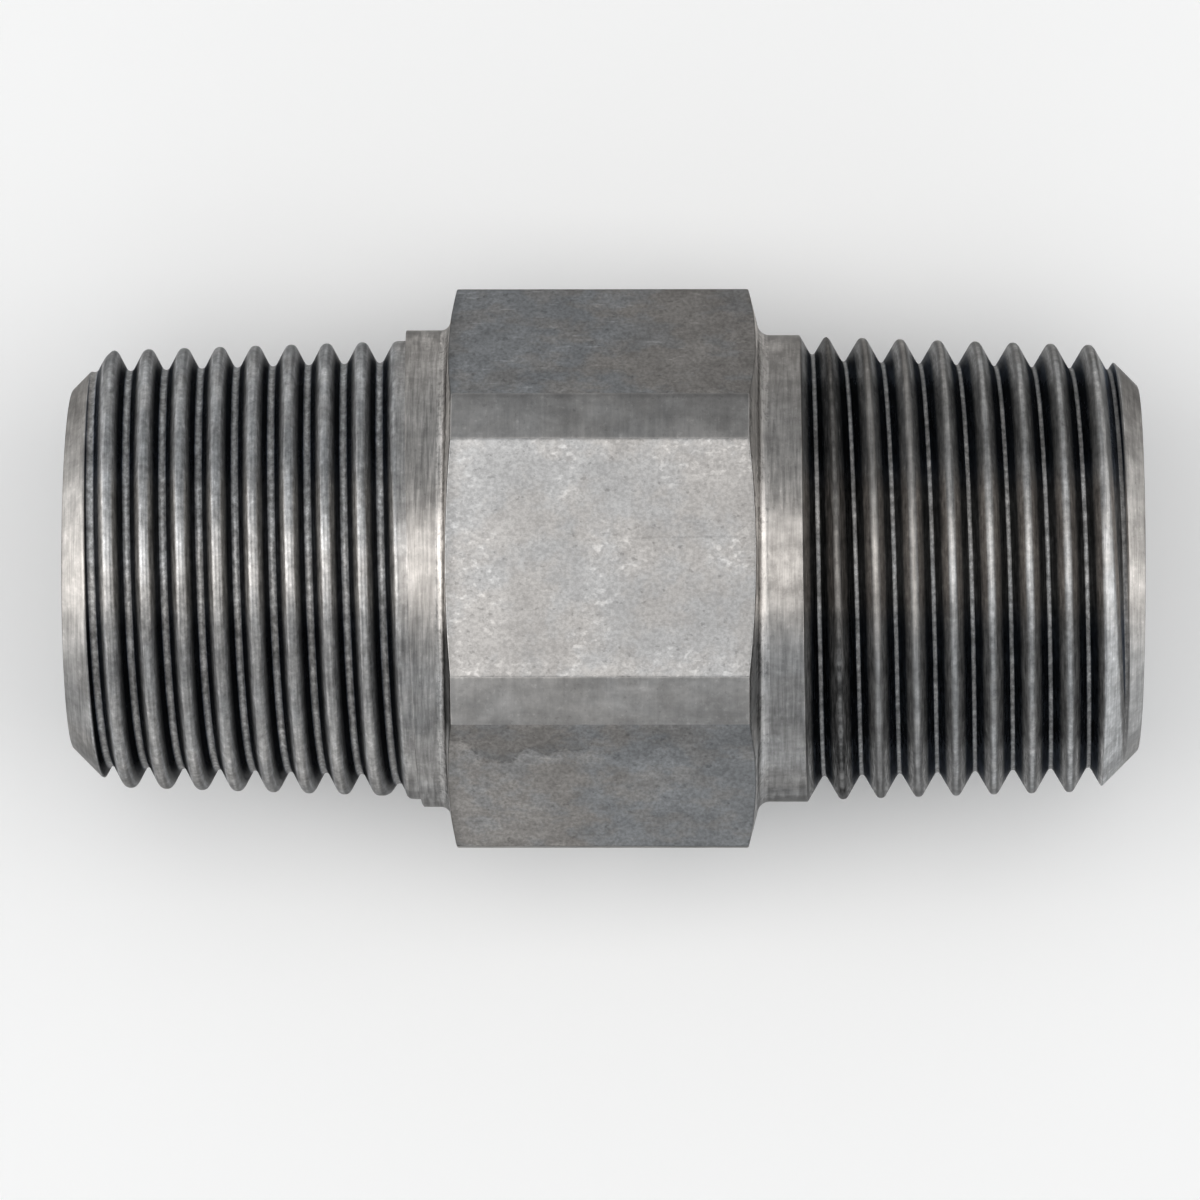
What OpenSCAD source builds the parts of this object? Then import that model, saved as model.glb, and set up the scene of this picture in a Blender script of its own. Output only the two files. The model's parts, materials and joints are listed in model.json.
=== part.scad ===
// Male pipe adapter: a hexagon with a collar and a tapered outside thread on each side, bored through.
// The axis runs along X and the adapter lies on one flat of its hexagon.
// The 55-degree thread points towards -X and the 60-degree thread towards +X.

/* [Bore] */
// Diameter of the bore through the whole adapter
bore_d = 10.3; // [6:0.1:12]
// Width of the bevel at each mouth of the bore
bore_bevel = 0.35; // [0.1:0.05:0.8]

/* [Hexagon] */
// Distance across the flats
hex_af = 19.05; // [18.8:0.05:20.4]
// Diameter that the corners are turned down to
hex_corner_d = 20.95; // [20.5:0.05:24]
// Length of the turned corners
hex_length = 10.91; // [6:0.01:20]

/* [Taper] */
// Growth in diameter of both threads for each millimetre of length
taper = 0.0625; // [0.03:0.0025:0.08]

/* [55-degree end] */
// Length from the end face to the turned corners of the hexagon
length_55 = 14.41; // [14:0.05:20]
// Diameter of the collar
collar_d_55 = 17.88; // [17.4:0.02:18]
// Slope of the shoulder, in degrees from square to the axis
shoulder_slope_55 = 11; // [8:0.5:30]
// Radius of the fillet between collar and shoulder
fillet_55 = 0.25; // [0.1:0.05:0.5]
// Diameter of the flat end face
rim_d_55 = 13.45; // [12.4:0.05:14.2]
// Threads per inch
tpi_55 = 19; // [17:1:24]
// Angle between the flanks of the thread
angle_55 = 55; // [50:1:65]
// Diameter over the crests at the gauge plane
gauge_d_55 = 16.72; // [16.4:0.01:17]
// Distance from the end face to the gauge plane
gauge_length_55 = 6.4; // [5:0.1:8]
// Radius that rounds the crests
crest_r_55 = 0.25; // [0.1:0.01:0.3]
// Radius that rounds the roots
root_r_55 = 0.17; // [0.1:0.01:0.25]
// Distance from the end face to the first crest, straight above the axis
first_crest_55 = 0.47; // [0:0.01:1.3]
// Distance from the end face to the middle of the groove where the thread stops
thread_length_55 = 12.4; // [9:0.05:12.6]
// Part of a turn over which the last groove fades
fade_55 = 0.3; // [0.1:0.05:0.9]
// Loss of feed for each turn of the fading groove
feed_loss_55 = 0; // [0:0.1:1.1]
// Distance from the middle of the last groove to the collar's face
face_lag_55 = 0.98; // [0.75:0.01:1.1]
// Slope of the collar's face, in degrees from square to the axis
face_slope_55 = 0; // [0:1:30]

/* [60-degree end] */
// Length from the end face to the turned corners of the hexagon
length_60 = 14.58; // [14:0.02:20]
// Diameter of the collar
collar_d_60 = 17.5; // [17.4:0.02:18]
// Slope of the shoulder, in degrees from square to the axis
shoulder_slope_60 = 14; // [8:0.5:30]
// Radius of the fillet between collar and shoulder
fillet_60 = 0.45; // [0.1:0.05:0.5]
// Diameter of the flat end face
rim_d_60 = 13.6; // [12.4:0.1:14.2]
// Threads per inch
tpi_60 = 18; // [16:1:22]
// Angle between the flanks of the thread
angle_60 = 60; // [55:1:65]
// Diameter over the crests at the gauge plane
gauge_d_60 = 17.02; // [16.7:0.01:17.1]
// Distance from the end face to the gauge plane
gauge_length_60 = 6.1; // [5:0.1:8]
// Radius that rounds the crests
crest_r_60 = 0.2; // [0.08:0.01:0.25]
// Radius that rounds the roots
root_r_60 = 0.12; // [0.08:0.01:0.22]
// Distance from the end face to the first crest, straight above the axis
first_crest_60 = 0.09; // [0:0.01:1.4]
// Distance from the end face to the middle of the groove where the thread stops
thread_length_60 = 12.2; // [9:0.05:12.6]
// Part of a turn over which the last groove fades
fade_60 = 0.9; // [0.1:0.05:0.9]
// Loss of feed for each turn of the fading groove
feed_loss_60 = 1.8; // [0:0.1:2]
// Distance from the middle of the last groove to the foot of the collar's face
face_lag_60 = 0.13; // [0.13:0.01:1]
// Slope of the collar's face, in degrees from square to the axis
face_slope_60 = 30; // [0:1:35]

/* [Facets] */
// Facets in one turn of a thread
thread_facets = 36; // [24:2:38]

/* [Hidden] */
$fn = 96;

inch = 25.4;
steel = [0.55, 0.54, 0.53];
// Facets that a whole shoulder circle would have
shoulder_facets = 720;
// How steeply the last groove rises out of the metal: 1 is an even rise, and more leaves most of it to the end
fade_power = 2;
// How far a cutting shape runs past what it cuts
past = 0.3;
// How far the thread's cutting shape is clear of the collar once the tool has left the metal
clearance = 0.03;
// Points that outline one groove and the crest after it
groove_points = 8;

hex_corner_r = hex_corner_d / 2;
total_length = length_55 + hex_length + length_60;

// Outline, from the axis outwards, of everything but the hexagon's flats. Y runs from one end to the other.
module outline() {
    difference() {
        union() {
            end_outline(length_55, collar_d_55 / 2, rim_d_55 / 2, fillet_55, shoulder_slope_55);
            translate([0, total_length])
                mirror([0, 1])
                    end_outline(length_60, collar_d_60 / 2, rim_d_60 / 2, fillet_60, shoulder_slope_60);
            intersection() {
                square([hex_corner_r, total_length]);
                shoulder_circle(length_55, collar_d_55 / 2, shoulder_slope_55);
                translate([0, total_length])
                    mirror([0, 1])
                        shoulder_circle(length_60, collar_d_60 / 2, shoulder_slope_60);
            }
        }
        bore_outline();
    }
}

// Each shoulder is part of a sphere so large that it looks like a cone.
function shoulder_r(collar_r, slope) = (hex_corner_r + collar_r) / 2 / sin(slope);
function shoulder_centre(length, sphere_r) = length + sqrt(sphere_r ^ 2 - hex_corner_r ^ 2);

module shoulder_circle(length, collar_r, slope) {
    sphere_r = shoulder_r(collar_r, slope);
    translate([0, shoulder_centre(length, sphere_r)]) circle(r = sphere_r, $fn = shoulder_facets);
}

// One end with its bevel and collar, and the fillet that meets the shoulder
module end_outline(length, collar_r, rim_r, fillet, slope) {
    sphere_r = shoulder_r(collar_r, slope);
    sphere_y = shoulder_centre(length, sphere_r);
    fillet_x = collar_r + fillet;
    fillet_y = sphere_y - sqrt((sphere_r + fillet) ^ 2 - fillet_x ^ 2);
    share = sphere_r / (sphere_r + fillet);
    touch = [fillet_x * share, sphere_y + (fillet_y - sphere_y) * share];
    difference() {
        polygon([
            [0, 0],
            [rim_r, 0],
            [collar_r, collar_r - rim_r],
            [collar_r, fillet_y],
            [fillet_x, fillet_y],
            touch,
            [touch.x, length + past],
            [0, length + past],
        ]);
        translate([fillet_x, fillet_y]) circle(r = fillet);
    }
}

module bore_outline() {
    bore_r = bore_d / 2;
    polygon([
        [0, -past],
        [bore_r + bore_bevel + past, -past],
        [bore_r, bore_bevel],
        [bore_r, total_length - bore_bevel],
        [bore_r + bore_bevel + past, total_length + past],
        [0, total_length + past],
    ]);
}

// The turned blank with its six flats, along Z
module blank() {
    intersection() {
        rotate_extrude() outline();
        translate([0, 0, -past])
            rotate([0, 0, 30])
                cylinder(h = total_length + 2 * past, r = hex_af / 2 / cos(30), $fn = 6);
    }
}

// Everything outside a tapered thread and the collar face where it stops, as one ring round the Z axis.
// Z runs from the end face inwards, and the first crest crosses the X axis.
module outside_thread(
    pitch, angle, gauge_d, gauge_length, crest_r, root_r, first_crest,
    thread_length, fade, feed_loss, face_lag, face_slope, collar_r
) {
    outer_r = collar_r + 2 * past;
    half = angle / 2;
    // Height and half width of the arcs that round the crests and roots
    crest_drop = crest_r * (1 - sin(half));
    crest_half = crest_r * cos(half);
    root_drop = root_r * (1 - sin(half));
    root_half = root_r * cos(half);
    // The point halfway round each side of a crest's arc
    side = (90 - half) / 2;
    crest_side = crest_half - crest_r * sin(side);
    side_drop = crest_r * (1 - cos(side));
    sharp_depth = pitch / 2 / tan(half);
    full_depth = sharp_depth - (crest_r + root_r) * (1 / sin(half) - 1);

    // A groove is named by its turn, which is whole straight above the axis.
    groove_zero = first_crest - pitch / 2;
    fed = function (past_turn) feed_loss * past_turn < 1
        ? past_turn - feed_loss * past_turn ^ 2 / 2
        : 1 / feed_loss / 2;
    fade_turn = (thread_length - groove_zero) / pitch - fed(fade);
    last_turn = fade_turn + fade;
    faded = function (turn) max(0, turn - fade_turn);
    middle = function (turn) groove_zero + pitch * (min(turn, fade_turn) + fed(faded(turn)));
    major = function (z) gauge_d / 2 + (z - gauge_length) * taper / 2;
    // The tool leaves the metal at the end, so the groove and the crest after it rise to the collar's surface.
    rise = function (turn) (faded(turn) / fade) ^ fade_power;
    top = function (turn) (collar_r + clearance - major(middle(turn))) * rise(turn);
    depth = function (turn) full_depth * (1 - rise(turn)) - top(turn);
    half_width = function (turn) root_half + max(0, depth(turn) - root_drop - crest_drop) * tan(half);
    place = function (z, drop) [z, major(z) - drop];

    // A groove's own outline, from crest to crest
    flanks = function (turn)
        let (m = middle(turn), w = half_width(turn), up = top(turn))
        [
            place(m - w - crest_half, 0),
            place(m - w - crest_side, side_drop),
            place(m - w, crest_drop),
            place(m - root_half, depth(turn) - root_drop),
            place(m, depth(turn)),
            place(m + root_half, depth(turn) - root_drop),
            place(m + w, crest_drop - up),
            place(m + w + crest_side, side_drop - up),
            place(m + w + crest_half, -up),
        ];
    // Where the crest between a groove and the one after it lies
    crest = function (turn)
        (middle(turn) + half_width(turn) + middle(turn + 1) - half_width(turn + 1)) / 2;
    // One groove with the crest after it. Where two grooves run into each other, the crest is their crossing.
    groove = function (turn, is_last)
        let (
            own = flanks(turn),
            before = crest(turn - 1),
            after = is_last ? own[groove_points][0] : crest(turn)
        )
        [
            for (i = [1 : groove_points])
                let (z = i < groove_points ? min(max(own[i][0], before), after) : after)
                [z, lookup(z, own)],
        ];

    start = -past;
    first_groove = floor((start - groove_zero) / pitch) - 2;
    groove_count = floor(last_turn) - first_groove + 1;
    inner_count = groove_count * groove_points;

    // Section through the axis: the outer start, the thread, and the outer end of the collar's face
    section = function (share)
        let (
            last_groove = floor(last_turn - share),
            thread = [
                for (g = [first_groove : last_groove])
                    each groove(g + share, g == last_groove)
            ],
            foot = middle(last_groove + share) + face_lag,
            foot_r = lookup(foot, thread)
        )
        [
            [start, outer_r],
            for (k = [0 : inner_count - 1])
                let (z = k < len(thread) ? min(max(thread[k][0], start), foot) : foot)
                [z, lookup(z, thread)],
            [foot + (outer_r - foot_r) * tan(face_slope), outer_r],
        ];

    ring_count = inner_count + 2;
    points = [
        for (s = [0 : thread_facets - 1])
            let (a = 360 * s / thread_facets)
            for (p = section(s / thread_facets))
                [p[1] * cos(a), p[1] * sin(a), p[0]]
    ];
    // After a whole turn each groove meets the next one, so the thread's points there move on by one groove.
    next = function (s, k)
        s < thread_facets - 1 ? (s + 1) * ring_count + k
        : k == 0 || k == ring_count - 1 ? k
        : min(k + groove_points, ring_count - 2);
    triangles = [
        for (s = [0 : thread_facets - 1])
            for (k = [0 : ring_count - 1])
                let (
                    l = (k + 1) % ring_count,
                    a = s * ring_count + k,
                    b = s * ring_count + l,
                    c = next(s, l),
                    d = next(s, k)
                )
                for (t = [[a, c, b], [a, d, c]])
                    if (points[t[0]] != points[t[1]]
                        && points[t[1]] != points[t[2]]
                        && points[t[2]] != points[t[0]]) t
    ];
    polyhedron(points = points, faces = triangles, convexity = 20);
}

module adapter_body() {
    color(steel)
        difference() {
            translate([-total_length / 2, 0, 0])
                rotate([0, 90, 0])
                    blank();
            translate([-total_length / 2, 0, 0])
                rotate([0, 90, 0])
                    rotate([0, 0, 180])
                        outside_thread(
                            inch / tpi_55, angle_55, gauge_d_55, gauge_length_55, crest_r_55, root_r_55,
                            first_crest_55, thread_length_55, fade_55, feed_loss_55, face_lag_55,
                            face_slope_55, collar_d_55 / 2
                        );
            translate([total_length / 2, 0, 0])
                rotate([0, -90, 0])
                    outside_thread(
                        inch / tpi_60, angle_60, gauge_d_60, gauge_length_60, crest_r_60, root_r_60,
                        first_crest_60, thread_length_60, fade_60, feed_loss_60, face_lag_60,
                        face_slope_60, collar_d_60 / 2
                    );
        }
}

adapter_body();
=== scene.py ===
"""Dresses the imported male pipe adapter: one finely cut steel body, a pale floor, soft light and a camera."""

import json
import math

import bmesh
import bpy
import numpy as np
from mathutils import Matrix, Vector

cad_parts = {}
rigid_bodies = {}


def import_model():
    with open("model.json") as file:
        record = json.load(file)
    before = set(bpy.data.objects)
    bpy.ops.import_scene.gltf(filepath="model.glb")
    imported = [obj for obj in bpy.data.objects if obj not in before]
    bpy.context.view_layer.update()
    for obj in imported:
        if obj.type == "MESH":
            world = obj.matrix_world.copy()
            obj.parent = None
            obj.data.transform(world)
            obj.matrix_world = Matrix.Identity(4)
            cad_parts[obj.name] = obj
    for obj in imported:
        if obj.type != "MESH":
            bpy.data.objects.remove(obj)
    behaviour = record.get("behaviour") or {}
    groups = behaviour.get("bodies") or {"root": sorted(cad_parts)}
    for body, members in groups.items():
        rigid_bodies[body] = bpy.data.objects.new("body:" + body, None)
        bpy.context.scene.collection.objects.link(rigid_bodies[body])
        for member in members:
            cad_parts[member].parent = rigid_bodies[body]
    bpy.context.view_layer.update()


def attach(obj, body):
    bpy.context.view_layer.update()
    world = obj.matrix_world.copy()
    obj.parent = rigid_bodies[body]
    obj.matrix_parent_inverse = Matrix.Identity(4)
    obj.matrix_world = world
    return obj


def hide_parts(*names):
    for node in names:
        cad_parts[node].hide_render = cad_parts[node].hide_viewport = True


for leftover in list(bpy.data.objects):
    bpy.data.objects.remove(leftover)
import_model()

# ---------------------------------------------------------------- sizes, in millimetres
# As in the part's source, but for the left fillet and the right rim, which are 0.13 and 0.03 mm larger.
MM = 0.001
TOTAL = 39.9
BORE_R, BORE_BEVEL = 5.15, 0.35
FLAT_R, CORNER_R = 19.05 / 2, 20.95 / 2
TAPER = 0.0625
END_55 = dict(
    length=14.41, collar=17.88 / 2, slope=11.0, fillet=0.38, rim=13.45 / 2,
    pitch=25.4 / 19, angle=55.0, gauge_d=16.72, gauge_z=6.4, crest_r=0.25, root_r=0.17,
    first_crest=0.47, thread=12.4, fade=0.3, loss=0.0, lag=0.98, face=0.0,
)
END_60 = dict(
    length=14.58, collar=17.5 / 2, slope=14.0, fillet=0.45, rim=13.66 / 2,
    pitch=25.4 / 18, angle=60.0, gauge_d=17.02, gauge_z=6.1, crest_r=0.2, root_r=0.12,
    first_crest=0.09, thread=12.2, fade=0.9, loss=1.8, lag=0.13, face=30.0,
)
FADE_POWER = 2
CLEARANCE = 0.03
THREAD_START = 0.25
# how much each edge is rounded
MOUTH_ROUND, INNER_ROUND, RIM_ROUND, COLLAR_ROUND, FLAT_ROUND, CORNER_BLEND = 0.12, 0.05, 0.16, 0.05, 0.07, 0.012
BEVEL_BLEND, COLLAR_BLEND, CUT_IN = 0.1, 0.01, 0.12
# how finely each stretch is divided
PER_GROOVE = 24
FILLET_STEPS, FLAT_STEPS, WALL_STEPS = 7, 9, 16
EDGE = math.degrees(math.acos(FLAT_R / CORNER_R))
# the zones of the outline, which are also the places of the materials
FLAT_ZONE, TURNED_ZONE, BORE_ZONE = 0, 1, 2


def softmin(a, b, k):
    """The smaller of two, rounded where they cross."""
    h = np.maximum(k - np.abs(a - b), 0) / k
    return np.minimum(a, b) - h * h * k / 4


def off_flat(direction):
    """Degrees from the middle of the nearest flat. The flats face up and down."""
    return (direction - 90 + 30) % 60 - 30


def hex_r(direction):
    """Radius of the hexagon with turned corners in one direction."""
    return float(softmin(FLAT_R / math.cos(math.radians(off_flat(direction))), CORNER_R, CORNER_BLEND))


class Thread:
    """One tapered thread. z runs inwards from the end face, and share is the part of a turn past straight up."""

    def __init__(self, e):
        self.e = e
        self.half = math.radians(e["angle"] / 2)
        rc, rr, p = e["crest_r"], e["root_r"], e["pitch"]
        self.crest_half = rc * math.cos(self.half)
        self.crest_drop = rc * (1 - math.sin(self.half))
        self.root_half = rr * math.cos(self.half)
        self.root_drop = rr * (1 - math.sin(self.half))
        self.full = p / 2 / math.tan(self.half) - (rc + rr) * (1 / math.sin(self.half) - 1)
        self.zero = e["first_crest"] - p / 2
        self.fade_turn = (e["thread"] - self.zero) / p - self.fed(e["fade"])
        self.last_turn = self.fade_turn + e["fade"]
        self.first = math.floor((-0.3 - self.zero) / p) - 2
        self.count = math.floor(self.last_turn) - self.first + 1

    def fed(self, t):
        """Turns' worth of feed in the first t turns of the run-out, as the tool slows."""
        loss = self.e["loss"]
        return t - loss * t * t / 2 if loss * t < 1 else 1 / loss / 2

    def middle(self, turn):
        """z of the groove's bottom."""
        fading = self.fed(max(0, turn - self.fade_turn))
        return self.zero + self.e["pitch"] * (min(turn, self.fade_turn) + fading)

    def major(self, z):
        """Radius of the crests' cone."""
        return self.e["gauge_d"] / 2 + (z - self.e["gauge_z"]) * TAPER / 2

    def rise(self, turn):
        """How far the run-out has come, from 0 to 1."""
        return (max(0, turn - self.fade_turn) / self.e["fade"]) ** FADE_POWER

    def top(self, turn):
        """How far the inner side of the groove stands above the crests' cone."""
        return (self.e["collar"] + CLEARANCE - self.major(self.middle(turn))) * self.rise(turn)

    def depth(self, turn):
        return self.full * (1 - self.rise(turn)) - self.top(turn)

    def half_width(self, turn):
        return self.root_half + max(0, self.depth(turn) - self.root_drop - self.crest_drop) * math.tan(self.half)

    def crest(self, turn):
        """z of the middle of the crest between this turn and the next."""
        return (self.middle(turn) + self.half_width(turn) + self.middle(turn + 1) - self.half_width(turn + 1)) / 2

    def drop(self, z, turn):
        """How far one groove lies below the crests' cone at each z."""
        d = np.abs(z - self.middle(turn))
        rc, rr = self.e["crest_r"], self.e["root_r"]
        deep, w = self.depth(turn), self.half_width(turn)
        root = deep - rr + np.sqrt(np.maximum(rr * rr - d * d, 0))
        flank = deep - self.root_drop - (d - self.root_half) / math.tan(self.half)
        u = np.maximum(self.crest_half - (d - w), 0)
        arc = rc - np.sqrt(np.maximum(rc * rc - u * u, 0))
        out = np.where(d < self.root_half, root, np.where(d < w, flank, arc))
        if self.top(turn) > 0:
            out = np.where((z > self.middle(turn)) & (d >= w), out - self.top(turn), out)
        return out

    def section(self, share):
        """z and r of the thread at one direction, and how near each point is to the bottom of its groove (0 to 1)."""
        last = math.floor(self.last_turn - share)
        foot = self.middle(last + share) + self.e["lag"]
        zs = []
        for g in range(self.first, self.first + self.count):
            if g <= last:
                lo = self.crest(g + share - 1)
                hi = foot if g == last else self.crest(g + share)
                zs.append(lo + (hi - lo) * np.arange(PER_GROOVE) / PER_GROOVE)
            else:
                zs.append(np.full(PER_GROOVE, foot))
        zs.append(np.array([foot]))
        z = np.clip(np.concatenate(zs), THREAD_START, foot)
        drop = np.full(len(z), -9.0)
        root = np.zeros(len(z))
        for g in range(self.first, last + 1):
            away = np.abs(z - self.middle(g + share))
            near = away < 1.3 * self.e["pitch"]
            if near.any():
                drop[near] = np.maximum(drop[near], self.drop(z[near], g + share))
            root = np.maximum(root, np.clip(1.6 - away / self.root_half, 0, 1))
        r = self.major(z) - drop
        if self.e["loss"] == 0:
            # where the groove has left the metal, what lies past the turn before is as high as the collar
            risen = min(max((self.rise(last + share) - 0.2) / 0.6, 0), 1)
            past = z > self.middle(last + share - 1) + self.e["lag"]
            r = np.where(past, r + np.maximum(self.e["collar"] - r, 0) * risen, r)
        return z, r, root


def rounded(a, p, b, radius, n):
    """Points on the arc that rounds the corner p between a and b, always n + 1 of them."""
    a, p, b = (np.array(q, float) for q in (a, p, b))
    u, v = a - p, b - p
    lu, lv = np.linalg.norm(u), np.linalg.norm(v)
    if lu < 1e-9 or lv < 1e-9:
        return [p] * (n + 1)
    u, v = u / lu, v / lv
    half = math.acos(float(np.clip(u @ v, -1, 1))) / 2
    if half > math.pi / 2 - 1e-4 or half < 1e-4:
        return [p] * (n + 1)
    cut = min(radius / math.tan(half), 0.45 * lu, 0.45 * lv)
    radius = cut * math.tan(half)
    centre = p + (u + v) / np.linalg.norm(u + v) * radius / math.sin(half)
    s, e = p + u * cut - centre, p + v * cut - centre
    t0 = math.atan2(s[1], s[0])
    turn = (math.atan2(e[1], e[0]) - t0 + math.pi) % (2 * math.pi) - math.pi
    angles = [t0 + turn * i / n for i in range(n + 1)]
    return [centre + radius * np.array([math.cos(t), math.sin(t)]) for t in angles]


class End:
    """Everything of one end that does not depend on direction, and its outline at each direction."""

    def __init__(self, e):
        self.e = e
        self.thread = Thread(e)
        self.sphere_r = (CORNER_R + e["collar"]) / 2 / math.sin(math.radians(e["slope"]))
        self.sphere_z = e["length"] + math.sqrt(self.sphere_r**2 - CORNER_R**2)
        self.fillet_r = e["collar"] + e["fillet"]
        self.fillet_z = self.sphere_z - math.sqrt((self.sphere_r + e["fillet"]) ** 2 - self.fillet_r**2)

    def shoulder_z(self, r):
        return self.sphere_z - math.sqrt(self.sphere_r**2 - r * r)

    def outline(self, share, direction):
        """Points (z, r, zone, groove, root, face) from the bore, over the end face and in to the flat."""
        e = self.e
        rim, collar = e["rim"], e["collar"]
        pts = []

        def add(seq, zone=TURNED_ZONE, face=0.0):
            pts.extend((float(q[0]), float(q[1]), zone, 0.0, 0.0, face) for q in seq)

        # the bore's mouth and the end face
        add(rounded((3, BORE_R), (BORE_BEVEL, BORE_R), (0, BORE_R + BORE_BEVEL), MOUTH_ROUND, 2))
        add(rounded((BORE_BEVEL, BORE_R), (0, BORE_R + BORE_BEVEL), (0, rim), INNER_ROUND, 2))
        add(rounded((0, BORE_R), (0, rim), (1, rim + 1), RIM_ROUND, 4))
        self.head = len(pts)
        # bevel and thread
        z, r, root = self.thread.section(share)
        bevel = rim + z
        r = softmin(softmin(r, bevel, BEVEL_BLEND), np.full(len(z), collar), COLLAR_BLEND)
        cut_in = np.clip((bevel - r) / CUT_IN, 0, 1)
        groove = np.clip((self.thread.major(z) - r) / self.thread.full, 0, 1) * cut_in
        for i in range(len(z)):
            near = float(root[i] * min(1, 4 * groove[i]))
            pts.append((float(z[i]), float(r[i]), TURNED_ZONE, float(groove[i]), near, 0.0))
        # the collar's face and the collar
        foot, foot_r = float(z[-1]), float(min(r[-1], collar - 0.002))
        face = foot + (collar - foot_r) * math.tan(math.radians(e["face"]))
        add(rounded((foot, foot_r), (face, collar), (face + 2, collar), COLLAR_ROUND, 3))
        mid = (face + self.fillet_z) / 2
        add([(face + (mid - face) * 0.6, collar), (mid, collar)])
        # the fillet, from straight down towards the axis, round to the sphere's surface, and the shoulder
        lean = math.atan2(self.fillet_r, self.sphere_z - self.fillet_z)
        a0, a1 = -math.pi / 2, math.atan2(-math.sin(lean), math.cos(lean))
        for i in range(FILLET_STEPS + 1):
            t = i / FILLET_STEPS
            a = a0 + (a1 - a0) * t
            spot = (self.fillet_z + e["fillet"] * math.cos(a), self.fillet_r + e["fillet"] * math.sin(a))
            add([spot], face=0.25 * t)
        touch = pts[-1]
        h = hex_r(direction)
        for t in (0.35, 0.7):
            q = touch[1] + (h - touch[1]) * t
            add([(self.shoulder_z(q), q)], face=0.25 + 0.75 * t)
        edge = self.shoulder_z(h)
        add(rounded((touch[0], touch[1]), (edge, h), (edge + 3, h), FLAT_ROUND, 4), FLAT_ZONE, 1.0)
        return pts


def directions():
    """Directions in degrees from straight up through a whole turn, closer together at the edges of the flats."""
    inner = np.linspace(-EDGE + 0.55, EDGE - 0.55, 15)
    one = [-30, -27.6, -EDGE - 0.6, -EDGE, *inner, EDGE, EDGE + 0.6, 27.6]
    turned = sorted((60 * sector + a) % 360 for sector in range(6) for a in one)
    return [a + 90 for a in turned]


def build_body():
    """The whole adapter as one closed mesh, with attributes that tell its materials where they are."""
    left, right = End(END_55), End(END_60)
    dirs = directions()
    columns = []
    for t in dirs:
        past_up = (t - 90) / 360
        a, b = left.outline(past_up, t), right.outline(1 - past_up, t)
        x0, x1, h = -TOTAL / 2 + a[-1][0], TOTAL / 2 - b[-1][0], hex_r(t)
        wall = TOTAL / 2 - BORE_BEVEL - 0.6
        col = [(-TOTAL / 2 + p[0], *p[1:]) for p in a]
        col += [(x0 + (x1 - x0) * i / FLAT_STEPS, h, FLAT_ZONE, 0.0, 0.0, 0.0) for i in range(1, FLAT_STEPS)]
        col += [(TOTAL / 2 - p[0], *p[1:]) for p in reversed(b)]
        col += [(wall - 2 * wall * i / WALL_STEPS, BORE_R, BORE_ZONE, 0.0, 0.0, 0.0) for i in range(WALL_STEPS + 1)]
        columns.append(col)
    n, rows = len(dirs), len(columns[0])
    right_end = rows - (WALL_STEPS + 1) - right.head - 1
    threads = (
        (left.head, left.head + left.thread.count * PER_GROOVE),
        (right_end - right.thread.count * PER_GROOVE, right_end),
    )
    # vertices, with each place kept once
    index, verts, attrs = {}, [], []

    def vertex(j, k):
        x, r, _, groove, root, face = columns[j][k]
        key = (j, round(x, 5), round(r, 5))
        if key not in index:
            index[key] = len(verts)
            t = math.radians(dirs[j])
            verts.append((x * MM, r * math.cos(t) * MM, r * math.sin(t) * MM))
            attrs.append((groove, root, abs(r * math.sin(math.radians(off_flat(dirs[j])))), face))
        return index[key]

    grid = [[vertex(j, k) for k in range(rows)] for j in range(n)]

    def next_turn(k):
        """Where a row goes on after a whole turn, as each groove meets the next one."""
        for first, end in threads:
            if first <= k <= end:
                return min(k + PER_GROOVE, end)
        return k

    def finish_of(j, k, l):
        """Which material a face has."""
        zones = (columns[j][k][2], columns[j][l][2])
        if BORE_ZONE in zones:
            return BORE_ZONE
        middle = (dirs[j] + (dirs[j + 1] if j + 1 < n else dirs[0] + 360)) / 2
        return FLAT_ZONE if zones == (FLAT_ZONE, FLAT_ZONE) and abs(off_flat(middle)) < EDGE else TURNED_ZONE

    faces, finishes = [], []
    for j in range(n):
        wrap = j == n - 1
        beside = grid[0 if wrap else j + 1]
        for k in range(rows):
            l = (k + 1) % rows
            far_k, far_l = (next_turn(k), next_turn(l)) if wrap else (k, l)
            corners = []
            for v in (grid[j][k], grid[j][l], beside[far_l], beside[far_k]):
                if not corners or v != corners[-1]:
                    corners.append(v)
            if len(corners) > 1 and corners[0] == corners[-1]:
                corners.pop()
            if len(set(corners)) >= 3:
                faces.append(corners)
                finishes.append(finish_of(j, k, l))
    mesh = bpy.data.meshes.new("adapter")
    mesh.from_pydata(verts, [], faces)
    mesh.update()
    mesh.polygons.foreach_set("material_index", finishes)
    for i, name in enumerate(("groove", "root", "across", "face")):
        layer = mesh.attributes.new(name, "FLOAT", "POINT")
        layer.data.foreach_set("value", np.array([a[i] for a in attrs], dtype=np.float32))
    bm = bmesh.new()
    bm.from_mesh(mesh)
    bmesh.ops.recalc_face_normals(bm, faces=bm.faces)
    bm.to_mesh(mesh)
    bm.free()
    for poly in mesh.polygons:
        poly.use_smooth = True
    obj = bpy.data.objects.new("adapter", mesh)
    bpy.context.scene.collection.objects.link(obj)
    return obj


body = build_body()
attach(body, "root")
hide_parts("adapter_body")

# ---------------------------------------------------------------- materials
WARM, COOL = (1.015, 1.0, 0.985), (0.985, 1.0, 1.015)
WARM_SIDE, COOL_SIDE = (1.04, 1.0, 0.96), (0.965, 1.0, 1.035)
WARM_LATHE = (1.045, 1.0, 0.955)
DRAWN, TURNED, TURNED_RIGHT = 0.262, 0.417, 0.92 * 0.417
EDGE_TINT = 0.3


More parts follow.
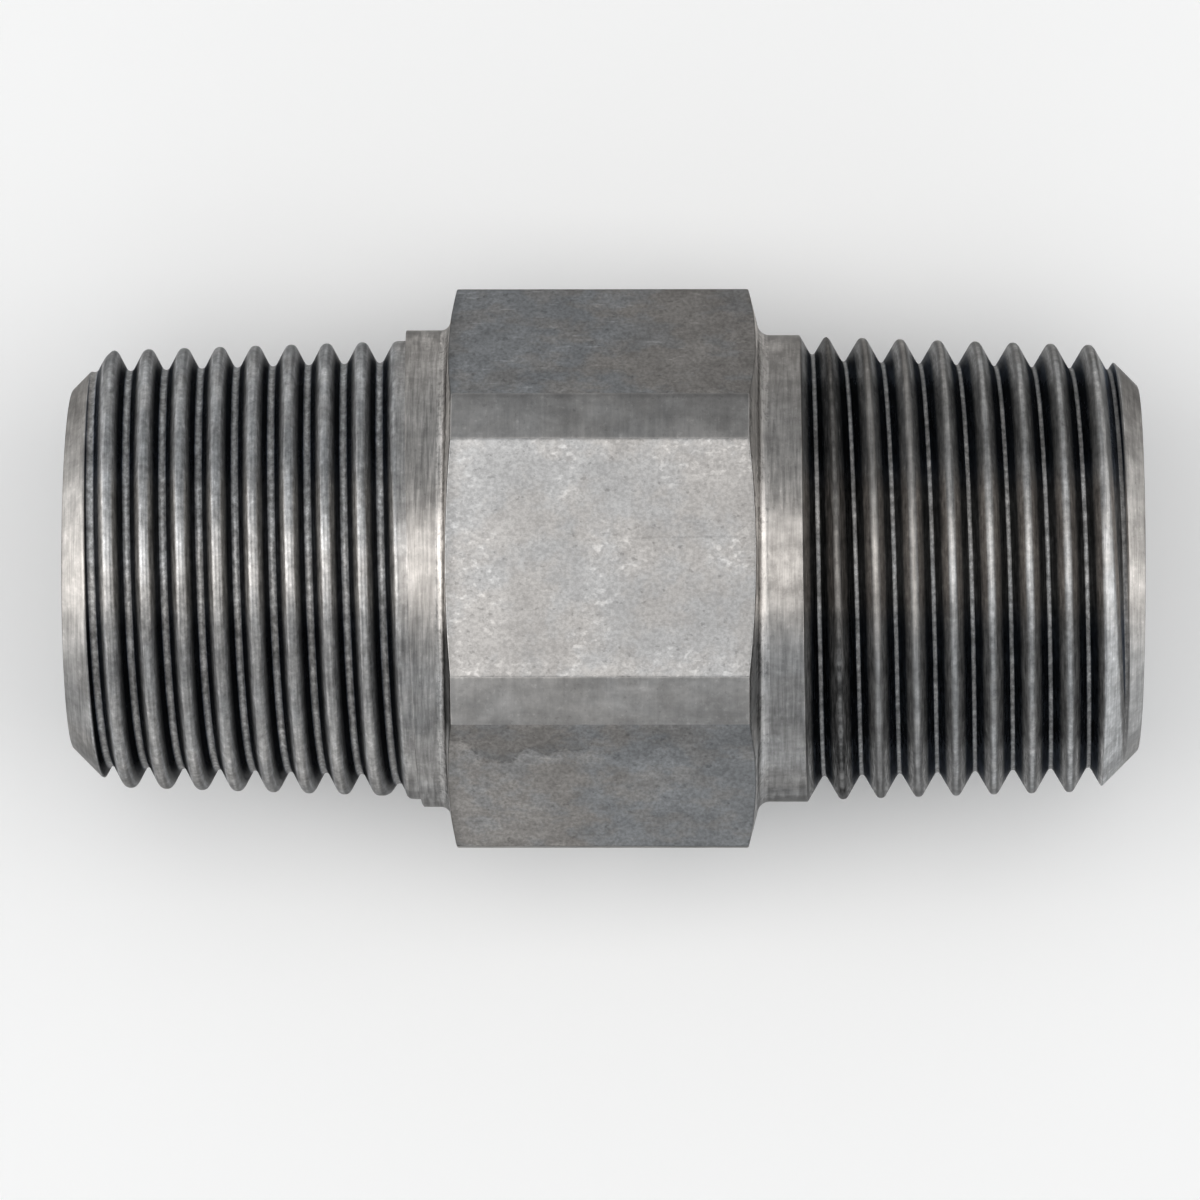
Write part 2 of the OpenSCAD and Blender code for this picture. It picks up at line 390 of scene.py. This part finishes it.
class Nodes:
    """Short calls that add shader nodes to one material and link them. Places are in millimetres."""

    def __init__(self, name):
        self.mat = bpy.data.materials.new(name)
        self.mat.use_nodes = True
        self.tree = self.mat.node_tree
        self.bsdf = self.tree.nodes["Principled BSDF"]
        coord = self.tree.nodes.new("ShaderNodeTexCoord")
        mm = self.tree.nodes.new("ShaderNodeVectorMath")
        mm.operation = "SCALE"
        self.tree.links.new(coord.outputs["Object"], mm.inputs[0])
        mm.inputs["Scale"].default_value = 1000
        self.mm = mm.outputs[0]
        xyz = self.tree.nodes.new("ShaderNodeSeparateXYZ")
        self.tree.links.new(self.mm, xyz.inputs[0])
        self.x, self.y, self.z = xyz.outputs
        normal = self.tree.nodes.new("ShaderNodeSeparateXYZ")
        self.tree.links.new(coord.outputs["Normal"], normal.inputs[0])
        self.normal_x = normal.outputs[0]
        squares = self.math("ADD", self.math("MULTIPLY", self.y, self.y), self.math("MULTIPLY", self.z, self.z))
        self.r = self.math("SQRT", squares)

    def put(self, socket, value):
        if isinstance(value, bpy.types.NodeSocket):
            self.tree.links.new(value, socket)
        else:
            socket.default_value = value

    def math(self, op, a, b=0.0, c=0.0, clamp=False):
        n = self.tree.nodes.new("ShaderNodeMath")
        n.operation = op
        n.use_clamp = clamp
        for s, v in zip(n.inputs, (a, b, c)):
            self.put(s, v)
        return n.outputs[0]

    def size(self, value):
        """The value without its sign."""
        return self.math("ABSOLUTE", value)

    def rest(self, value):
        """What is left of 1."""
        return self.math("SUBTRACT", 1.0, value)

    def product(self, *factors):
        out = factors[0]
        for f in factors[1:]:
            out = self.math("MULTIPLY", out, f)
        return out

    def span(self, value, lo, hi, to_lo=0.0, to_hi=1.0):
        """Maps value from lo..hi smoothly to to_lo..to_hi."""
        n = self.tree.nodes.new("ShaderNodeMapRange")
        n.interpolation_type = "SMOOTHSTEP"
        for s, v in zip(n.inputs, (value, lo, hi, to_lo, to_hi)):
            self.put(s, v)
        return n.outputs[0]

    def blend(self, factor, a, b):
        """a where factor is 0, b where it is 1."""
        n = self.tree.nodes.new("ShaderNodeMix")
        for s, v in ((n.inputs[0], factor), (n.inputs[2], a), (n.inputs[3], b)):
            self.put(s, v)
        return n.outputs[0]

    def where(self, factor, value):
        """value where factor is 1, and 1 elsewhere."""
        return self.blend(factor, 1.0, value)

    def softly(self, factor, value):
        """As where, with a smoother way between."""
        return self.span(factor, 0, 1, 1.0, value)

    def mix(self, factor, a, b):
        """As blend, for colours."""
        n = self.tree.nodes.new("ShaderNodeMix")
        n.data_type = "RGBA"
        self.put(n.inputs[0], factor)
        for s, v in ((n.inputs[6], a), (n.inputs[7], b)):
            self.put(s, v if isinstance(v, bpy.types.NodeSocket) else (*v, 1))
        return n.outputs[2]

    def ramp(self, value, stops):
        """A curve through (value, result) pairs, straight between them."""
        n = self.tree.nodes.new("ShaderNodeValToRGB")
        self.put(n.inputs[0], value)
        bits = n.color_ramp.elements
        while len(bits) < len(stops):
            bits.new(0.5)
        for bit, (at, grey) in zip(bits, stops):
            bit.position = at
            bit.color = (grey, grey, grey, 1)
        return n.outputs[0]

    def vector(self, x, y, z):
        n = self.tree.nodes.new("ShaderNodeCombineXYZ")
        for s, v in zip(n.inputs, (x, y, z)):
            self.put(s, v)
        return n.outputs[0]

    def place(self, x, y, z, shift=0.0):
        """The place, stretched along each axis and moved, so that no two uses look alike."""
        n = self.tree.nodes.new("ShaderNodeVectorMath")
        n.operation = "MULTIPLY_ADD"
        self.put(n.inputs[0], self.mm)
        n.inputs[1].default_value = (x, y, z)
        n.inputs[2].default_value = (shift, 1.7 * shift, -shift)
        return n.outputs[0]

    def round_about(self, along, turn):
        """A place for marks that run round the axis: along counts from end to end, turn is how fast they change."""
        return self.vector(along, self.math("MULTIPLY", self.y, turn), self.math("MULTIPLY", self.z, turn))

    def noise(self, vector, detail=3.0, rough=0.55, scale=1.0):
        n = self.tree.nodes.new("ShaderNodeTexNoise")
        self.put(n.inputs["Vector"], vector)
        n.inputs["Scale"].default_value = scale
        n.inputs["Detail"].default_value = detail
        n.inputs["Roughness"].default_value = rough
        return n.outputs["Fac"]

    def attribute(self, name):
        n = self.tree.nodes.new("ShaderNodeAttribute")
        n.attribute_name = name
        return n.outputs["Fac"]

    def bump(self, height, distance_mm):
        n = self.tree.nodes.new("ShaderNodeBump")
        n.inputs["Distance"].default_value = distance_mm * MM
        self.put(n.inputs["Height"], height)
        return n.outputs[0]

    def finish(self, tint, level, roughness, normal, metallic=1.0):
        """Puts the finish on the shader. Its colour is tint times level."""
        n = self.tree.nodes.new("ShaderNodeVectorMath")
        n.operation = "SCALE"
        self.put(n.inputs[0], tint)
        self.put(n.inputs["Scale"], level)
        self.put(self.bsdf.inputs["Base Color"], n.outputs[0])
        self.put(self.bsdf.inputs["Roughness"], roughness)
        self.put(self.bsdf.inputs["Metallic"], metallic)
        self.put(self.bsdf.inputs["Normal"], normal)
        self.bsdf.inputs["Specular Tint"].default_value = (EDGE_TINT, EDGE_TINT, EDGE_TINT, 1)
        return self.mat


def tinted(n, size, shift=0.0, warm=WARM, cool=COOL):
    """Patches of slightly warmer and cooler grey."""
    patch = n.span(n.noise(n.place(size, size, size, shift), 4, 0.65), 0.38, 0.62)
    drift = n.span(n.math("MULTIPLY", n.x, n.y), -25, 25, 0.5, -0.5)
    return n.mix(n.math("ADD", patch, drift, clamp=True), warm, cool)


def drawn_steel():
    """The flats of the hexagon, as the drawn bar left them: mottled, with flecks and short marks along the bar, and
    with painted light and shade.
    """
    n = Nodes("drawn_steel")
    across = n.attribute("across")
    top = n.span(n.z, 9.0, 9.4)
    low = n.span(n.y, -5.0, -6.0)

    # painted light and shade: the top flat lighter towards its left end and its edges and darker towards its right end,
    # the side flats darker, the one towards -Y most, and darker towards their right ends
    slope_top = n.product(
        n.span(n.x, -5.7, -2.4, 1.16, 1.0),
        n.span(n.x, -2.4, 5.0, 1.0, 0.96),
        n.span(across, 3.3, 4.3, 0.985, 1.055),
    )
    slope_side = n.product(
        n.blend(low, n.span(n.x, 2.4, 4.6, 0.82, 0.75), n.span(n.x, -6.0, 6.0, 1.0, 0.84)),
        n.span(across, 4.1, 4.36, 1.0, n.blend(low, 0.9, 1.03)),
    )
    slope = n.blend(top, slope_side, slope_top)

    # clouds, grain and haze
    cloud_noise = n.noise(n.place(1.3, 1.5, 0.8, 9), 4, 0.72)
    haze = n.span(n.noise(n.place(0.35, 0.35, 0.35, 17), 1), 0.3, 0.7)
    grain_noise = n.noise(n.place(8.0, 8.8, 3.0, 2), 1, 0.6)
    grain = n.span(grain_noise, 0.25, 0.75, n.blend(top, 0.83, 0.86), n.blend(top, 1.17, 1.14))
    cloud = n.product(n.span(cloud_noise, 0.25, 0.75, 0.84, 1.16), grain, n.span(haze, 0, 1, 0.95, 1.05))

    # bright flecks, which gather at the edges and in the haze, and dark ones
    at_edge = n.product(n.span(across, 3.3, 4.2), n.span(n.y, 1.0, -1.0, 0.6, 1.0))
    edges = n.math("MAXIMUM", at_edge, n.span(n.x, -4.0, -5.3))
    gather = n.math("MAXIMUM", n.span(haze, 0.55, 0.9), edges)
    fleck = n.noise(n.place(3.4, 4.4, 1.6, 31), 2)
    bright = n.product(n.span(fleck, 0.54, 0.7), gather, n.span(top, 0, 1, 0.4, 1.0))
    light = n.math("MULTIPLY_ADD", bright, 0.38, 1.0)
    dark = n.span(fleck, 0.28, 0.37, 0.74, 1.0)

    # short light marks along the bar, on the sides only
    line = n.span(n.noise(n.place(1.3, 6.0, 3.0, 7), 1, 0.5), 0.64, 0.78, 1.0, 1.36)
    line = n.blend(top, n.blend(low, line, n.math("POWER", line, 0.5)), 1.0)

    # one long shallow scratch on the upper flat, and wear at its left end
    wander = n.math("MULTIPLY_ADD", cloud_noise, 0.16, -0.76)
    from_scratch = n.size(n.math("ADD", n.math("MULTIPLY_ADD", n.x, -0.02, n.y), wander))
    scratch = n.product(
        top, n.span(from_scratch, 0.02, 0.05, 1.0, 0.0), n.span(n.x, 0.6, 1.6), n.span(n.x, 5.3, 4.4)
    )
    worn = n.math("MULTIPLY", n.span(n.x, -5.56, -5.25, 0.84, 1.0), n.softly(scratch, 0.88))

    # oil that has dried on the flat that faces -Y and up: a dark film down to a wavy edge, and a light line below it;
    # further down, painted light makes the flat a little lighter towards its lower edge
    wave = n.noise(n.place(0.42, 0.1, 0, 3), 1, 0.5)
    down = n.math("ADD", n.y, n.span(wave, 0.3, 0.7, -0.45, 0.45))
    above = n.span(n.z, -0.8, -0.2)
    film = n.product(above, n.span(down, -7.25, -6.85), n.span(n.y, -5.6, -6.3), n.span(n.x, -1.8, 0.2, 1.0, 0.6))
    tide = n.product(
        above, n.span(down, -7.14, -7.06), n.span(down, -6.96, -7.03),
        n.span(n.x, -1.2, 0.2, 1.0, 0.5), n.span(fleck, 0.42, 0.56),
    )
    pale = n.product(
        above, n.span(down, -7.5, -7.25), n.span(down, -7.1, -7.25), n.span(cloud_noise, 0.45, 0.62),
        n.span(n.y, -5.6, -5.9), n.span(n.x, -1.8, 0.2, 1.0, 0.4),
    )
    oil_and_painted_light = n.product(
        n.span(film, 0, 1, 1.04, 0.79), n.softly(tide, 0.72), n.softly(pale, 1.14),
        n.softly(n.span(n.y, -7.0, -8.8), 1.04),
    )

    level = n.product(cloud, light, dark, line, worn, slope, oil_and_painted_light, DRAWN)
    tint = n.mix(top, tinted(n, 0.5, 0, WARM_SIDE, COOL_SIDE), tinted(n, 0.5))
    return n.finish(tint, level, n.span(cloud_noise, 0.3, 0.7, 0.3, 0.38), n.bump(fleck, 0.003))


def turned_steel():
    """Everything the lathe cut: ends, bevels, threads, collars, shoulders and the hexagon's rounded corners, with
    painted light and shade in zones.
    """
    n = Nodes("turned_steel")
    right = n.span(n.x, -1, 1)
    land = n.span(n.r, 10.38, 10.45)
    collar = n.product(n.span(n.r, 8.5, 8.6), n.rest(land))
    bevel = n.span(n.size(n.math("ADD", n.x, -0.1)), 19.0, 19.2)
    no_bevel = n.softly(bevel, 0.0)
    last_crest = n.span(n.x, 18.2, 18.5)
    off_middle = n.size(n.y)

    # tool marks round the axis, clouds and flecks
    fine = n.noise(n.round_about(n.math("SUBTRACT", n.size(n.x), n.r), 0.06), 3, 0.65, 9.0)
    marks = n.blend(land, n.span(fine, 0.3, 0.7, 0.8, 1.2), n.span(fine, 0.3, 0.7, 0.96, 1.04))
    cloud_noise = n.noise(n.place(1.0, 0.8, 0.8, 3), 5, 0.7)
    cloud = n.span(cloud_noise, 0.25, 0.75, n.blend(land, 0.76, 0.8), n.blend(land, 1.24, 1.2))
    fleck = n.noise(n.place(5.0, 4.2, 4.2, 31), 3, 0.65)
    light = n.span(fleck, 0.55, 0.74, 1.0, 1.22)
    dark = n.span(fleck, 0.26, 0.42, 0.8, 1.0)

    # painted shade and light on the hexagon's rounded corners: darker on those towards +Y, a little darker on the one
    # towards -Y and more so towards the right of its lower edge, and lighter towards the left end; the rest of the
    # lathed steel is painted a little darker far towards +Y. The corners are also darker along their edges, more so
    # towards +Y.
    border = n.product(land, n.span(n.attribute("across"), 4.36, 4.7, 1.0, 0.0), n.span(n.z, 9.2, 8.9))
    along_land = n.product(
        n.span(n.x, -5.6, -3.0, 1.08, 1.0), n.where(n.span(n.y, 1.0, -1.0), n.span(n.x, 1.0, 3.8, 1.03, 0.86))
    )
    lands = n.product(
        n.span(n.y, 4.9, 6.3, 1.0, n.blend(land, 0.95, 0.8)),
        n.span(n.y, -5.4, -5.9, 1.0, n.where(land, n.span(n.x, -3.0, 0.5, 1.0, 0.9))),
        n.span(n.y, 5.0, 4.6, n.where(land, 0.95), 1.0),
        n.softly(border, n.span(n.y, 1.0, -1.0, 0.82, 0.93)),
        n.where(land, along_land),
    )

    # painted shade and light in zones round the collars: darker towards -Y and high towards +Y, lighter at their very
    # edge towards +Y; also a turned line on the left one and a darker patch on the right one
    zone_left = n.span(n.y, -4.0, -6.4, 1.0, 0.79)
    zone_right = n.product(
        n.span(n.y, -2.6, -3.6, 1.0, 0.92), n.span(n.y, -5.8, -6.6, 1.0, 0.8), n.span(n.y, 3.4, 2.4, 0.95, 1.0)
    )
    turning = n.product(
        n.span(n.x, -7.2, -7.36), n.span(n.x, -7.64, -7.54), n.span(n.y, -5.0, -3.0), n.span(n.y, 3.5, 1.5)
    )
    patch = n.product(
        right, n.span(n.y, 0.9, 0.4), n.span(n.y, -2.0, -1.2), n.span(cloud_noise, 0.35, 0.6, 1.0, 0.5)
    )
    collars = n.product(
        n.span(n.y, 5.5, 6.6, 1.0, n.blend(right, 0.8, 0.76)),
        n.span(n.y, 7.5, 8.3, 1.0, n.blend(right, 1.25, 1.5)),
        n.blend(right, zone_left, zone_right),
        n.softly(turning, 0.78),
        n.blend(right, n.span(fine, 0.3, 0.7, 0.92, 1.08), n.span(n.y, -2.0, -3.0, 0.96, 0.92)),
        n.softly(patch, 0.74),
    )
    # painted light and shade in zones round the bevels at the ends
    ring_left = n.product(
        n.span(n.y, -3.7, -2.8, 0.74, 1.13), n.span(n.y, 2.4, 3.6, 1.0, 0.76), n.span(n.y, -4.6, -5.8, 1.0, 1.3)
    )
    ring_right = n.product(n.span(n.y, 2.4, -1.5, 0.84, 1.06), n.span(off_middle, 1.0, 2.6, 0.93, 1.0))
    shade = n.product(lands, n.where(collar, collars), n.where(bevel, n.blend(right, ring_left, ring_right)))

    # painted shade on the threads, deepening down the flanks to near black low on them, with a little painted highlight
    # on the right thread's crest tips; and dull flanks
    groove = n.attribute("groove")
    flank_shade_55 = n.ramp(groove, ((0, 1.0), (0.13, 0.9), (0.21, 0.62), (0.34, 0.42), (0.43, 0.2), (0.48, 0.15), (1, 0.13)))
    flank_shade_60 = n.ramp(
        n.math("MULTIPLY", groove, n.softly(last_crest, 0.5)),
        ((0, 1.12), (0.008, 1.02), (0.03, 0.53), (0.08, 0.35), (0.3, 0.28), (0.45, 0.2), (0.55, 0.2), (1, 0.19)),
    )
    dull_55 = n.ramp(groove, ((0, 0.0), (0.1, 0.1), (0.2, 0.5), (0.44, 0.7), (0.54, 0.15), (1, 0.1)))
    dull_60 = n.ramp(groove, ((0, 0.0), (0.02, 0.1), (0.06, 0.5), (0.12, 0.7), (0.45, 0.7), (0.55, 0.15), (1, 0.1)))
    # streaks that the tool tore along the grooves
    streak_at = n.vector(
        n.math("MULTIPLY_ADD", groove, 6.0, n.math("MULTIPLY", n.x, 0.2)),
        n.math("MULTIPLY", n.y, 0.6),
        n.math("MULTIPLY", n.z, 0.6),
    )
    torn = n.span(n.product(right, n.span(n.y, -2.0, -4.0)), 0, 1, 0.35, 0.6)
    streak = n.span(n.noise(streak_at, 3, 0.65, 2.0), 0.3, 0.7, n.rest(torn), n.math("ADD", 1.0, torn))
    # painted shade on the thread surfaces that face +X
    far_side = n.span(n.normal_x, -0.2, 0.6, 1.0, n.blend(right, 0.6, 0.9))
    # painted shade deep in the grooves away from the middle band round the axis, more towards -Y on the left thread and
    # towards +Y on the right one
    away = n.span(n.size(n.math("ADD", n.y, -0.5)), 1.8, 3.4)
    sunk_left = n.span(groove, 0.12, 0.42, 1.0, n.span(n.y, 1.0, -1.0, 0.55, 0.36))
    sunk_right = n.product(
        n.span(groove, 0.0, 0.1, 1.0, 0.72), n.span(groove, 0.3, 0.5, 1.0, 0.6), n.span(n.y, 3.2, 4.4, 1.0, 0.86)
    )
    # painted highlight on the crests a little towards +Y of the middle
    upper = n.product(
        n.span(groove, 0.2, 0.1), n.span(n.y, 1.4, 2.2), n.span(n.y, 4.2, 3.2), n.span(n.r, 8.5, 8.4)
    )
    # painted light in the grooves near the threads' edges towards +Y and -Y
    fringe = n.product(n.span(off_middle, 6.3, 7.3), n.span(groove, 0.05, 0.2))
    flanks = n.product(
        n.blend(right, flank_shade_55, flank_shade_60),
        n.where(n.span(groove, -0.15, 0.3), streak),
        n.where(n.span(groove, 0.0, 0.02), far_side),
        n.where(away, n.blend(right, sunk_left, sunk_right)),
        n.where(upper, 1.2),
        n.where(fringe, n.blend(right, 1.4, 2.8)),
    )
    # the roots, as a thin line in each groove: mottled, with painted light in the middle band round the axis and
    # painted shade away from it, darker on the last crest, and on the right thread painted darker towards +Y
    root = n.span(n.attribute("root"), n.blend(right, 0.55, 0.7), n.blend(right, 0.95, 1.02))
    roots = n.product(
        n.span(fleck, 0.3, 0.7, 0.66, n.blend(right, 1.1, 1.15)),
        n.span(away, 0, 1, 1.12, n.blend(right, 0.94, 0.85)),
        n.where(last_crest, 0.5),
        n.where(right, n.span(n.y, 1.0, 6.5, 0.95, 0.78)),
    )
    # grit on the threads; painted light on the smooth last crest, away from its middle and most towards -Y; and the
    # groove next to the right collar, darker than the others
    thread = n.product(n.span(n.r, 8.6, 8.5), no_bevel, n.softly(last_crest, 0.45))
    last_level = n.product(
        n.span(n.y, 0.0, -2.5, 0.97, 1.15), n.span(n.y, -5.5, -7.0, 1.0, 1.2), n.span(n.y, 1.5, 4.5, 1.0, 1.2)
    )
    first_groove = n.product(n.span(n.x, 7.65, 7.8), n.span(n.x, 10.0, 9.0), n.rest(root))
    thread_shade_and_marks = n.product(
        n.blend(root, flanks, roots),
        n.where(thread, n.span(fleck, 0.34, 0.66, 0.86, 1.14)),
        n.where(n.product(last_crest, no_bevel), last_level),
        n.where(first_groove, n.math("MULTIPLY", streak, 0.5)),
    )

    # the shoulders: painted light on their fillets and faces, ragged dark lines at each side of them, much darker
    # towards -Y, and a little darker towards +Y on the right one
    face = n.math("MULTIPLY", n.attribute("face"), n.rest(land))
    lines_and_light = n.ramp(
        n.math("ADD", face, n.span(fleck, 0.3, 0.7, -0.13, 0.13)),
        ((0, 1.0), (0.02, 1.3), (0.12, 1.35), (0.22, 0.95), (0.3, 0.6), (0.45, 1.5), (0.75, 1.7), (0.9, 0.8), (1, 0.6)),
    )
    plain = n.ramp(face, ((0, 1.0), (0.02, 1.3), (0.1, 1.75), (0.18, 1.6), (0.3, 1.4), (0.7, 1.8), (1, 1.4)))
    low = n.product(n.span(n.y, -1.5, -3.2), n.span(n.y, -6.8, -5.8), n.span(face, 0.1, 0.24))
    high_right = n.product(right, n.span(n.y, 2.8, 4.2), n.span(n.y, 6.6, 5.6))
    sides = n.product(
        n.blend(right, lines_and_light, n.blend(n.span(cloud_noise, 0.45, 0.55), plain, lines_and_light)),
        n.where(low, n.blend(right, 0.25, 0.46)),
        n.softly(high_right, 0.82),
    )
    sides = n.where(n.span(face, 0.0, 0.04), sides)

    # cooler and warmer dirt in the grooves, warmer steel on lands, collars and bevels
    deep = n.span(groove, 0.4, 0.6)
    dirt_away = n.mix(
        right,
        n.mix(deep, (0.99, 1.0, 1.02), (0.84, 1.0, 1.3)),
        n.mix(deep, (1.0, 1.0, 1.0), (0.86, 1.0, 1.24)),
    )
    dirt_middle = n.mix(
        right,
        n.mix(deep, (1.03, 1.0, 0.96), (0.95, 1.0, 1.1)),
        n.mix(deep, (1.1, 1.0, 0.92), (1.0, 1.0, 1.0)),
    )
    lathed = n.product(n.math("MAXIMUM", collar, bevel), n.span(n.y, -4.0, -1.5, 0.2, 0.9))
    steel = n.mix(n.math("MAXIMUM", n.math("MULTIPLY", land, 0.5), lathed), tinted(n, 0.35, 2), WARM_LATHE)
    dirty = n.math("MULTIPLY", n.span(groove, 0.03, 0.15), n.rest(root))
    tint = n.mix(dirty, steel, n.mix(away, dirt_middle, dirt_away))

    level = n.product(marks, cloud, light, dark, thread_shade_and_marks, sides, shade, n.span(right, 0, 1, TURNED, TURNED_RIGHT))
    dull = n.blend(root, n.blend(right, dull_55, dull_60), n.blend(right, 0.5, 0.8))
    duller = n.math("MAXIMUM", n.span(face, 0.2, 0.4), dull)
    rough = n.math("MULTIPLY_ADD", duller, 0.14, n.span(fine, 0.3, 0.7, 0.33, 0.43))
    return n.finish(tint, level, rough, n.bump(fine, 0.004), n.rest(dull))


def bored_steel():
    """The wall of the bore, with the rings that the drill left."""
    n = Nodes("bored_steel")
    rings = n.noise(n.place(6, 0.3, 0.3), 3, 0.6)
    level = n.span(rings, 0.3, 0.7, 0.2, 0.28)
    return n.finish(n.mix(0.5, WARM, COOL), level, n.span(rings, 0.3, 0.7, 0.4, 0.5), n.bump(rings, 0.01))


# in the order of FLAT_ZONE, TURNED_ZONE and BORE_ZONE
for material in (drawn_steel(), turned_steel(), bored_steel()):
    body.data.materials.append(material)

# ---------------------------------------------------------------- floor and light
PAPER = (0.945, 0.955, 0.963, 1)
WORLD, WORLD_STRENGTH = (0.975, 1.0, 1.025, 1), 0.42
SIDE_LIGHT = (1.0, 0.975, 0.945)

bpy.ops.mesh.primitive_plane_add(size=4, location=(0, 0, -FLAT_R * MM))
floor = bpy.context.object
floor.name = "floor"
paper = bpy.data.materials.new("paper")
paper.use_nodes = True
shader = paper.node_tree.nodes["Principled BSDF"]
shader.inputs["Base Color"].default_value = PAPER
shader.inputs["Roughness"].default_value = 0.9
shader.inputs["Specular IOR Level"].default_value = 0.1
floor.data.materials.append(paper)

world = bpy.data.worlds.new("world")
bpy.context.scene.world = world
world.use_nodes = True
background = world.node_tree.nodes["Background"]
background.inputs["Color"].default_value = WORLD
background.inputs["Strength"].default_value = WORLD_STRENGTH


def panel(name, wide, high, place, radiance, colour):
    """A soft box aimed at the part, given by how bright it looks from there."""
    data = bpy.data.lights.new(name, "AREA")
    data.shape = "RECTANGLE"
    data.size, data.size_y = wide, high
    data.energy = radiance * math.pi * wide * high
    data.color = colour
    obj = bpy.data.objects.new(name, data)
    obj.location = place
    obj.rotation_euler = (-Vector(place)).to_track_quat("-Z", "Y").to_euler()
    obj.visible_camera = False
    bpy.context.scene.collection.objects.link(obj)


panel("overhead", 0.5, 0.44, (0, 0.01, 0.6), 1.7, (1.0, 0.965, 0.93))
panel("left_box", 0.29, 0.6, (-0.54, 0.01, 0.263), 2.9, SIDE_LIGHT)
panel("right_box", 0.36, 0.6, (0.54, 0, 0.263), 2.0, SIDE_LIGHT)
panel("front_fill", 0.9, 0.5, (0, -0.8, 0.45), 0.17, (1.0, 0.98, 0.96))

# ---------------------------------------------------------------- camera
# It looks straight down on the upper flat, a little from the side of -Y and of +X. CENTRE is the pixel of the origin.
DISTANCE, YAW, TILT, ROLL = 0.340, 0.7366, 2.2081, -0.0346
FRAME, PIXELS_PER_MM, CENTRE = 1200, 26.6478, (605.18, 568.54)
SENSOR = 36

yaw, tilt, roll = (math.radians(v) for v in (YAW, TILT, ROLL))
towards = Vector((math.sin(yaw), -math.sin(tilt), 0))
towards.z = math.sqrt(1 - towards.x**2 - towards.y**2)
level_x = (Vector((1, 0, 0)) - towards * towards.x).normalized()
level_y = towards.cross(level_x)
picture_x = math.cos(roll) * level_x + math.sin(roll) * level_y
picture_y = -math.sin(roll) * level_x + math.cos(roll) * level_y
aside = (CENTRE[0] - FRAME / 2) / PIXELS_PER_MM * MM
below = (FRAME / 2 - CENTRE[1]) / PIXELS_PER_MM * MM
cam = bpy.data.cameras.new("camera")
cam.sensor_width = SENSOR
cam.sensor_fit = "HORIZONTAL"
cam.lens = SENSOR * DISTANCE / (FRAME / PIXELS_PER_MM * MM)
cam.clip_start, cam.clip_end = 0.01, 10
camera = bpy.data.objects.new("camera", cam)
pose = Matrix((picture_x, picture_y, towards)).transposed().to_4x4()
pose.translation = towards * DISTANCE - picture_x * aside - picture_y * below
camera.matrix_world = pose
bpy.context.scene.collection.objects.link(camera)
bpy.context.scene.camera = camera
bpy.context.scene.view_settings.view_transform = "Standard"
